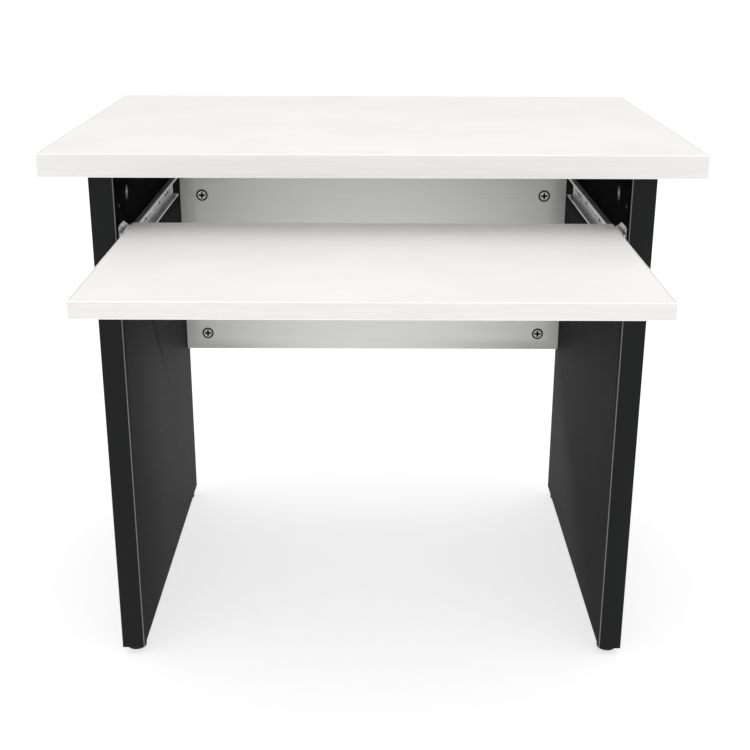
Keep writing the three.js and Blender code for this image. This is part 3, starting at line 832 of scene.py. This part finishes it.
def cam(node):
    """A die-cast cam with a cross for the driver and a pocket for its bolt's head."""
    out, bolt_way = CAMS[node]
    mouth = cam_mouth(node)
    top = GAP + CAM_RIM_HEIGHT
    chamfer, dish = 0.5 * MM, 0.25 * MM
    profile = [(0, -CAM_DEPTH), (CAM_BODY - chamfer, -CAM_DEPTH)]
    profile += [(CAM_BODY, -CAM_DEPTH + chamfer), (CAM_BODY, -0.3 * MM)]
    profile += [(CAM_BODY, top - dish), (CAM_BODY - dish, top)]
    profile += [(CAM_BODY - 1.2 * MM, top), (CAM_BODY - 1.5 * MM, top - dish)]
    profile += [(0, top - dish)]
    # The modesty cams get a painted shade in their cross; the desktop cams get a darker
    # metal, a painted shade, with bright walls in their cross, a painted glint.
    metal, recess_painted_light, cross = "cam_metal", "cam_shadow", 11.4 * MM
    if "desktop" in node:
        metal, recess_painted_light, cross = "dark_cam_metal", "cam_metal", 4.8 * MM
    obj = look(node, bm_lathe(profile, mouth, out), metal)
    face_at = mouth + out * (top - dish)
    tools = cross_recess(face_at, out, cross, 3.3 * MM, 3.8 * MM)
    pocket_start = mouth - out * 9 * MM - bolt_way * 4 * MM
    tools.append(bm_rod(3.7 * MM, 16 * MM, pocket_start, bolt_way, 24))
    boolean(obj, tools)
    line_recess(obj, face_at, out, recess_painted_light)
    shade(obj, 30)
    place(obj, node)
    cam_collar(node, mouth, out, top)


def cam_collar(node, mouth, out, top):
    """The plastic collar round a cam, on the board's face."""
    low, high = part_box(node)
    across = X if "modesty" in node else Z
    rim = (high - low).dot(across) / 2
    inner = CAM_BODY + 0.12 * MM
    collar = [(inner, GAP), (rim, GAP), (rim, GAP + 0.3 * MM)]
    collar += [(rim - 0.6 * MM, top), (inner + 0.3 * MM, top)]
    collar += [(inner, top - 0.3 * MM), (inner, GAP)]
    bm = bm_lathe(collar, mouth, out)
    ring = mesh_object(node + "_collar", bm, MATERIALS["black_plastic"])
    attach(ring, BODY_OF[node])


def thread_profile(start, end, root, crest, pitch):
    """A run of thread as rings, for a profile."""
    points = []
    count = max(1, int(abs(end - start) / pitch))
    step = (end - start) / count
    for i in range(count):
        base = start + step * i
        points += [(root, base), (crest, base + step * 0.45), (crest, base + step * 0.55)]
    points.append((root, end))
    return points


def cam_bolt(node):
    """A cam bolt: thread, collar, shank, neck and head, along its node's box."""
    low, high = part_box(node)
    way = -CAMS[node.replace("_bolt", "")][1]
    length = max(high - low)
    start = centre_of(node) - way * length / 2
    head_from = length - 4 * MM
    neck_from = length - 11.2 * MM
    thread_end = 10.8 * MM
    collar, shank, neck, head = 3.6 * MM, 3.0 * MM, 1.9 * MM, 3.2 * MM
    profile = [(0, 0)]
    profile += thread_profile(0.8 * MM, thread_end, 2.1 * MM, 2.9 * MM, 1.6 * MM)
    profile += [(collar - 0.2 * MM, thread_end), (collar, thread_end + 0.3 * MM)]
    profile += [(collar, thread_end + 1.4 * MM), (shank, thread_end + 1.8 * MM)]
    profile += [(shank, neck_from), (neck, neck_from + 0.8 * MM)]
    profile += [(neck, head_from - MM), (head, head_from), (head, head_from + 2.2 * MM)]
    profile += [(head - 0.8 * MM, length - 0.5 * MM), (0, length)]
    bm = bm_lathe(profile, start, way, 32)
    obj = look(node, bm, "zinc_plated_steel")
    place(obj, node)


def dowel(node):
    """A fluted beech dowel with chamfered ends."""
    low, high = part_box(node)
    axis = long_axis(node)
    radius = min(high - low) / 2
    length = max(high - low)
    flutes, flute_share, end_share = 16, 0.94, 0.74
    bm = bmesh.new()
    rings = []
    stations = [(end_share, 0), (1, DOWEL_CHAMFER)]
    stations += [(1, length - DOWEL_CHAMFER), (end_share, length)]
    for share, height in stations:
        ring = []
        for i in range(flutes * 2):
            turn = math.pi * i / flutes
            out = radius * share * (flute_share if i % 2 else 1.0)
            at = (out * math.cos(turn), out * math.sin(turn), height)
            ring.append(bm.verts.new(at))
        rings.append(ring)
    for lower, upper in zip(rings, rings[1:]):
        for i in range(flutes * 2):
            j = (i + 1) % (flutes * 2)
            bm.faces.new((lower[i], lower[j], upper[j], upper[i]))
    bm.faces.new(list(reversed(rings[0])))
    bm.faces.new(rings[-1])
    start = centre_of(node) - axis * length / 2
    matrix = Matrix.Translation(start) @ towards(axis)
    bmesh.ops.transform(bm, matrix=matrix, verts=bm.verts)
    obj = look(node, bm, "beech", 20)
    place(obj, node)


for cam_node in CAMS:
    cam(cam_node)
    cam_bolt(cam_node + "_bolt")
    dowel(cam_node.replace("_cam", "_dowel"))


# ------------------------------------------------------------------ slides


def bent_outline(path, thickness, bend, steps=4):
    """The section of bent sheet: a line of (across, up) points, given its thickness to
    the left of the line, with rounded bends. The line is the sheet's outer face."""
    rounded = [path[0]]
    for before, corner, after in zip(path, path[1:], path[2:]):
        corner = Vector(corner)
        back = (Vector(before) - corner).normalized()
        ahead = (Vector(after) - corner).normalized()
        centre = corner + (back + ahead) * bend
        start = corner + back * bend
        first = start - centre
        turn = first.angle_signed(corner + ahead * bend - centre)
        for i in range(steps + 1):
            angle = -turn * i / steps
            c, s = math.cos(angle), math.sin(angle)
            spoke = Vector((first.x * c - first.y * s, first.x * s + first.y * c))
            rounded.append(tuple(centre + spoke))
    rounded.append(path[-1])
    inner = []
    for i, point in enumerate(rounded):
        before = Vector(rounded[max(i - 1, 0)])
        after = Vector(rounded[min(i + 1, len(rounded) - 1)])
        along = (after - before).normalized()
        inner.append(tuple(Vector(point) + Vector((-along.y, along.x)) * thickness))
    return [tuple(p) for p in rounded] + list(reversed(inner))


def slide_bm(side, outline, y_from, y_to):
    """Pushes a section of (across, up) along Y, placed on a side panel's inner face."""
    sign = SIDES[side]
    wall = inner_face(side)
    points = [(wall - sign * across, SLIDE_Z[side] + up) for across, up in outline]
    return bm_prism(points, y_from, y_to, (X, Z, Y))


def inner_face(side):
    """The X of a side panel's inner face."""
    low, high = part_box(f"{side}_side_panel")
    return low.x if SIDES[side] > 0 else high.x


SLIDE_Z = {}
for side_name in SIDES:
    rail_low, rail_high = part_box(f"{side_name}_slide_rail")
    SLIDE_Z[side_name] = (rail_low.z + rail_high.z) / 2


def across_slide(side, first, last):
    """Two distances from a side panel's inner face, as X, the lower one first."""
    wall, sign = inner_face(side), SIDES[side]
    return sorted((wall - sign * first, wall - sign * last))


def slide_box(side, low, high):
    """A box in a slide's terms: (across, along Y, up)."""
    x0, x1 = across_slide(side, low[0], high[0])
    z = SLIDE_Z[side]
    return bm_box((x0, low[1], z + low[2]), (x1, high[1], z + high[2]))


def countersink(side, node):
    """A countersunk hole for a channel screw."""
    centre = centre_of(node)
    out = -SIDES[side] * X
    behind = 2 * MM
    at = Vector((inner_face(side), centre.y, centre.z)) + out * (GAP - behind)
    head = SCREW_HEAD + 0.25 * MM
    shank = SCREW_SHANK + 0.45 * MM
    profile = [(0, 0), (shank, 0), (shank, behind), (head, behind + SHEET)]
    profile += [(head, behind + SHEET + MM), (0, behind + SHEET + MM)]
    return bm_lathe(profile, at, out, 32)


def channel(side):
    """The channel on the side panel: bent sheet with an ear, holes and a rear stop."""
    node = f"{side}_slide_channel"
    low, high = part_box(node)
    half, lip = CHANNEL_HALF, CHANNEL_LIP
    width = GAP + (high.x - low.x)
    front, rear = low.y, high.y
    section = [(width, half - lip), (width, half), (GAP, half)]
    section += [(GAP, -half), (width, -half), (width, -half + lip)]
    outline = bent_outline(section, SHEET, BEND)
    bm = slide_bm(side, outline, front, rear)
    obj = look(node, bm, "zinc_plated_steel")
    boolean(obj, channel_cuts(side, front, rear, width))
    ear = channel_ear(side, front, high.z - SLIDE_Z[side])
    stop = slide_box(
        side,
        (3.5 * MM, rear - SHEET, -half + 0.3 * MM),
        (8.5 * MM, rear, -half + lip),
    )
    boolean(obj, [ear, stop, channel_finger(side, front)], "UNION")
    boolean(obj, [countersink(side, f"{side}_channel_screw_1")])
    finish_channel(obj, side, width)
    shade(obj, 30)
    place(obj, node)


def channel_cuts(side, front, rear, width):
    """Tools that clear the front end for the ear, notch the lower lip, and make the
    screw holes and spare slots."""
    half, spare = CHANNEL_HALF, 2 * MM
    race_front = front + EAR_LENGTH
    far = width + spare
    notch_from, notch_to = (rear - distance for distance in LIP_NOTCH)
    boxes = [
        (
            (GAP + SHEET, front - MM, half - CHANNEL_LIP - spare),
            (far, race_front, half + spare),
        ),
        ((GAP - MM, front - MM, half - 3 * MM), (far, race_front, half + spare)),
        (
            (width - 2 * SHEET, notch_from, -half + 1.8 * MM),
            (far, notch_to, -half + CHANNEL_LIP + MM),
        ),
    ]
    tools = [slide_box(side, low, high) for low, high in boxes]
    tools += [countersink(side, f"{side}_channel_screw_{i}") for i in (2, 3)]
    tools += [slot_hole(side, front + along * MM) for along in SPARE_SLOTS]
    return tools


def channel_ear(side, front, top):
    """The ear at the channel's front end, flat on top and sloping down to the races."""
    rear, foot, shoulder = front + EAR_LENGTH, CHANNEL_HALF - EAR_OVERLAP, CHANNEL_HALF
    slope_from = front + EAR_FLAT
    outline = [(front, foot), (rear, foot), (rear, shoulder - 0.4 * MM)]
    outline += [(rear - 4 * MM, shoulder + 0.6 * MM)]
    outline += [(slope_from + 3 * MM, top - 0.8 * MM), (slope_from - 2 * MM, top)]
    steps = 5
    for i in range(steps + 1):
        turn = math.radians(90 + 90 * i / steps)
        along = EAR_CORNER + EAR_CORNER * math.cos(turn)
        up = EAR_CORNER * math.sin(turn)
        outline.append((front + along, top - EAR_CORNER + up))
    x0, x1 = across_slide(side, GAP, GAP + SHEET)
    points = [(y, SLIDE_Z[side] + up) for y, up in outline]
    return bm_prism(points, x0, x1, (Y, Z, X))


def channel_finger(side, front):
    """The finger folded back from the ear's front edge, which guides the tray."""
    path = [(front + FINGER_LENGTH, FINGER_REACH), (front, FINGER_REACH)]
    path += [(front, GAP), (front + 6 * MM, GAP)]
    outline = bent_outline(path, SHEET, 1.8 * MM)
    points = [(y, inner_face(side) - SIDES[side] * across) for y, across in outline]
    z = SLIDE_Z[side]
    return bm_prism(points, z + FINGER_LOW, z + FINGER_TOP, (Y, X, Z))


def slot_hole(side, y, sides=24):
    """A slot with round ends through the channel's web."""
    outline = []
    for i in range(sides):
        turn = 2 * math.pi * (i + 0.5) / sides
        shift = math.copysign(SLOT_HALF_LENGTH, math.cos(turn))
        along = y + shift + SLOT_RADIUS * math.cos(turn)
        outline.append((along, SLIDE_Z[side] + SLOT_RADIUS * math.sin(turn)))
    x0, x1 = across_slide(side, -MM, 4 * MM)
    return bm_prism(outline, x0, x1, (Y, Z, X))


def finish_channel(obj, side, width):
    """The ball races get a painted shade, the lips' edges a painted highlight and the top
    a painted shade."""
    for material in ("greased_steel", "burnished_steel", "dusty_steel"):
        obj.data.materials.append(MATERIALS[material])
    race, lip_edge, shaded_top = 1, 2, 3
    half = CHANNEL_HALF
    sign, wall, z0 = SIDES[side], inner_face(side), SLIDE_Z[side]
    for face in obj.data.polygons:
        across = sign * (wall - face.center.x)
        up = abs(face.center.z - z0)
        on_lip = across > width - BEND and half - CHANNEL_LIP - GAP < up < half + GAP
        in_race = GAP + SHEET < across < width - SHEET and abs(up - half + SHEET) < GAP
        on_top = face.center.z - z0 > half - 0.1 * MM and face.normal.z > 0.9
        if on_lip and abs(face.normal.y) < 0.9:
            face.material_index = lip_edge
        elif in_race:
            face.material_index = race
        elif on_top:
            face.material_index = shaded_top


def rail(side):
    """The rail that carries the tray, with its three welded brackets."""
    node = f"{side}_slide_rail"
    low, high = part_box(node)
    half = (high.z - low.z) / 2
    section = [(RAIL_TIP, -half), (RAIL_WEB, -half), (RAIL_WEB, half), (RAIL_TIP, half)]
    bm = slide_bm(side, bent_outline(section, SHEET, BEND), low.y, high.y)
    obj = look(node, bm, "zinc_plated_steel")
    tray_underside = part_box("tray_edge_band")[0].z
    top = tray_underside - GAP - SLIDE_Z[side]
    fold = [(RAIL_WEB, top - BRACKET_DROP), (RAIL_WEB, top), (BRACKET_REACH, top)]
    outline = bent_outline(fold, -BRACKET_SHEET, BRACKET_BEND)
    brackets, screw_holes = [], []
    for i in SCREW_NUMBERS:
        screw = centre_of(f"{side}_tray_screw_{i}")
        ends = screw.y - BRACKET_HALF, screw.y + BRACKET_HALF
        brackets.append(slide_bm(side, outline, *ends))
        at = (screw.x, screw.y, low.z + 2 * MM)
        screw_holes.append(bm_rod(SCREW_SHANK + GAP, 8 * MM, at, Z, 24))
    boolean(obj, brackets, "UNION")
    boolean(obj, screw_holes)
    shade(obj, 30)
    place(obj, node)


def cage(side):
    """The ball cage: a thin U of steel with its balls in both races."""
    node = f"{side}_ball_cage"
    low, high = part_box(node)
    sheet, near, far = 0.8 * MM, 1.9 * MM, 7.8 * MM
    section = [(far, BALL_UP + sheet / 2), (near, BALL_UP + sheet / 2)]
    section += [(near, -BALL_UP - sheet / 2), (far, -BALL_UP - sheet / 2)]
    outline = bent_outline(section, sheet, 1.0 * MM)
    parts = [slide_bm(side, outline, low.y, high.y)]
    x = inner_face(side) - SIDES[side] * BALL_ACROSS
    for level in (-1, 1):
        z = SLIDE_Z[side] + level * BALL_UP
        for i in range(BALLS_PER_RACE):
            ball = bmesh.new()
            bmesh.ops.create_uvsphere(
                ball, u_segments=16, v_segments=12, radius=BALL_RADIUS
            )
            y = low.y + (high.y - low.y) * (i + 0.5) / BALLS_PER_RACE
            bmesh.ops.translate(ball, vec=Vector((x, y, z)), verts=ball.verts)
            parts.append(ball)
    obj = look(node, joined(*parts), "zinc_plated_steel")
    place(obj, node)


def screw_thread(start, end):
    """The thread of a chipboard screw."""
    return thread_profile(start, end, 1.05 * MM, 1.7 * MM, 1.4 * MM)


def channel_screw(side, index):
    """A countersunk chipboard screw with a cross recess."""
    node = f"{side}_channel_screw_{index}"
    low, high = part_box(node)
    out = -SIDES[side] * X
    length = high.x - low.x
    start = centre_of(node) - out * length / 2
    head = length - SHEET
    arris = 0.15 * MM
    profile = [(0, 0), *screw_thread(1.0 * MM, head - 0.6 * MM)]
    profile += [(SCREW_SHANK * 0.8, head), (SCREW_HEAD, length - arris)]
    profile += [(SCREW_HEAD - arris, length), (0, length)]
    bm = bm_lathe(profile, start, out, 32)
    obj = look(node, bm, "zinc_plated_steel")
    top = start + out * length
    boolean(obj, cross_recess(top, out, 4.8 * MM, 1.2 * MM, 1.6 * MM))
    # painted shade in the cross recess
    line_recess(obj, top, out, "cam_shadow", 2.6 * MM, 2 * MM)
    shade(obj, 30)
    place(obj, node)


def tray_screw(side, index):
    """A pan-head screw, up through a bracket into the tray."""
    node = f"{side}_tray_screw_{index}"
    low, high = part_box(node)
    start = Vector(((low.x + high.x) / 2, (low.y + high.y) / 2, low.z))
    length = high.z - low.z
    head_radius, head_height = 3.8 * MM, 2.2 * MM
    profile = [(0, 0)]
    steps = 6
    for i in range(1, steps + 1):
        turn = math.pi / 2 * i / steps
        crown = head_height * 0.8 * (1 - math.cos(turn))
        profile.append((head_radius * math.sin(turn), crown))
    profile += [(head_radius, head_height), (SCREW_SHANK * 0.8, head_height)]
    profile += [*screw_thread(3.4 * MM, length - 1.5 * MM), (0, length)]
    bm = bm_lathe(profile, start, Z, 32)
    obj = look(node, bm, "zinc_plated_steel")
    boolean(obj, cross_recess(start, -Z, 4.2 * MM, 0.9 * MM, 1.4 * MM))
    shade(obj, 30)
    place(obj, node)


for side_name in SIDES:
    channel(side_name)
    rail(side_name)
    cage(side_name)
    for number in SCREW_NUMBERS:
        channel_screw(side_name, number)
        tray_screw(side_name, number)


# ------------------------------------------------------------------ feet


def foot(side, end):
    """A levelling foot: a moulded sole with a grip of ribs, on its threaded stem."""
    node = f"{side}_{end}_foot"
    low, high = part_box(node)
    centre = (low + high) / 2
    radius = (high.x - low.x) / 2
    at = Vector((centre.x, centre.y, 0))
    sole = [(0, 0), (radius - 2.2 * MM, 0), (radius - 1.6 * MM, 0.4 * MM)]
    sole += arc_points((radius - 1.2 * MM, 1.6 * MM), 1.2 * MM, -70, 0, 4)
    sole += [(radius, 4.2 * MM)]
    sole += arc_points((radius - 1.0 * MM, 4.2 * MM), 1.0 * MM, 20, 80, 3)
    sole += [(radius - 4 * MM, 6.2 * MM), (6.5 * MM, 7.0 * MM), (0, 7.0 * MM)]
    parts = [bm_lathe(sole, at, Z, 64)]
    ribs, half_rib = 24, 0.55 * MM
    rib_low = (radius - 1.5 * MM, -half_rib, 1.8 * MM)
    rib_high = (radius - 0.02 * MM, half_rib, 4.4 * MM)
    for i in range(ribs):
        turn = 2 * math.pi * i / ribs
        rib = bm_box(rib_low, rib_high)
        bevel_edges(rib, 0.25 * MM, 2)
        matrix = Matrix.Translation(at) @ Matrix.Rotation(turn, 4, "Z")
        bmesh.ops.transform(rib, matrix=matrix, verts=rib.verts)
        parts.append(rib)
    obj = look(node, joined(*parts), "black_plastic", 40)
    place(obj, node)
    foot_stem(node, at, high.z)


def foot_stem(node, at, top):
    """The threaded steel stem that stands in a foot's sole."""
    low = 6.8 * MM
    profile = [(0, low), (3.4 * MM, low)]
    profile += thread_profile(7.2 * MM, top - 1.0 * MM, 3.35 * MM, 3.9 * MM, 1.25 * MM)
    profile += [(2.6 * MM, top), (0, top)]
    bm = bm_lathe(profile, at, Z, 40)
    stem = mesh_object(node + "_stem", bm, MATERIALS["zinc_plated_steel"])
    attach(stem, BODY_OF[node])


def foot_insert(node):
    """A threaded insert with a coarse outside thread and a small flange."""
    low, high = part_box(node)
    centre = (low + high) / 2
    outer = (high.x - low.x) / 2
    inner, root = 4.2 * MM, outer - 0.9 * MM
    length = high.z - low.z
    chamfer = 0.4 * MM
    profile = [(inner, chamfer), (inner + chamfer, 0), (outer, 0), (outer, 1.0 * MM)]
    profile += thread_profile(1.4 * MM, length - chamfer, root, outer, 2.2 * MM)
    profile += [(root, length), (inner, length), (inner, chamfer)]
    bm = bm_lathe(profile, Vector((centre.x, centre.y, low.z)), Z, 40)
    obj = look(node, bm, "zinc_plated_steel")
    place(obj, node)


for side_name in SIDES:
    for end_name in ENDS:
        foot(side_name, end_name)
        foot_insert(f"{side_name}_{end_name}_foot_insert")


# ------------------------------------------------------------------ floor and light


def soft_light(name, strength, spread_angle, tilt):
    """A wide soft light, tilted from overhead towards the front; angles in degrees."""
    light = bpy.data.lights.new(name, "SUN")
    light.energy = strength
    light.angle = math.radians(spread_angle)
    obj = bpy.data.objects.new(name, light)
    obj.rotation_euler = (math.radians(tilt), 0, 0)
    bpy.context.scene.collection.objects.link(obj)


def studio():
    """A plain pale floor and plain soft light from above and in front."""
    bm = bmesh.new()
    bmesh.ops.create_grid(bm, x_segments=1, y_segments=1, size=40)
    floor = mesh_object("studio_floor", bm, None)
    material, _, shader = new_material("studio_floor", grey(0.45), 0.9, specular=0)
    shader.inputs["Emission Color"].default_value = (1, 1, 1, 1)
    shader.inputs["Emission Strength"].default_value = 0.65
    floor.data.materials.append(material)

    world = bpy.data.worlds.new("studio")
    bpy.context.scene.world = world
    world.use_nodes = True
    background = world.node_tree.nodes["Background"]
    background.inputs["Color"].default_value = (1, 1, 1, 1)
    background.inputs["Strength"].default_value = 0.87

    soft_light("key", 0.62, 80, 8)
    soft_light("fill", 0.3, 60, 76)


def camera():
    """The camera stands in front of the desk, a little above it, and looks down."""
    data = bpy.data.cameras.new("camera")
    data.sensor_width = 36
    data.lens = 59.33
    data.clip_end = 100
    obj = bpy.data.objects.new("camera", data)
    bpy.context.scene.collection.objects.link(obj)
    stand = Vector((0.0017, -1.7007, 1.0014))
    pitch, yaw, roll = math.radians(19.64), math.radians(0.07), math.radians(0.18)
    ahead = Vector(
        (
            math.sin(yaw) * math.cos(pitch),
            math.cos(yaw) * math.cos(pitch),
            -math.sin(pitch),
        )
    )
    right = Vector((math.cos(yaw), -math.sin(yaw), 0))
    up = right.cross(ahead)
    rolled_right = right * math.cos(roll) + up * math.sin(roll)
    rolled_up = up * math.cos(roll) - right * math.sin(roll)
    rotation = Matrix((rolled_right, rolled_up, -ahead)).transposed().to_4x4()
    obj.matrix_world = Matrix.Translation(stand) @ rotation
    bpy.context.scene.camera = obj


studio()
camera()
bpy.context.scene.view_settings.view_transform = "Standard"
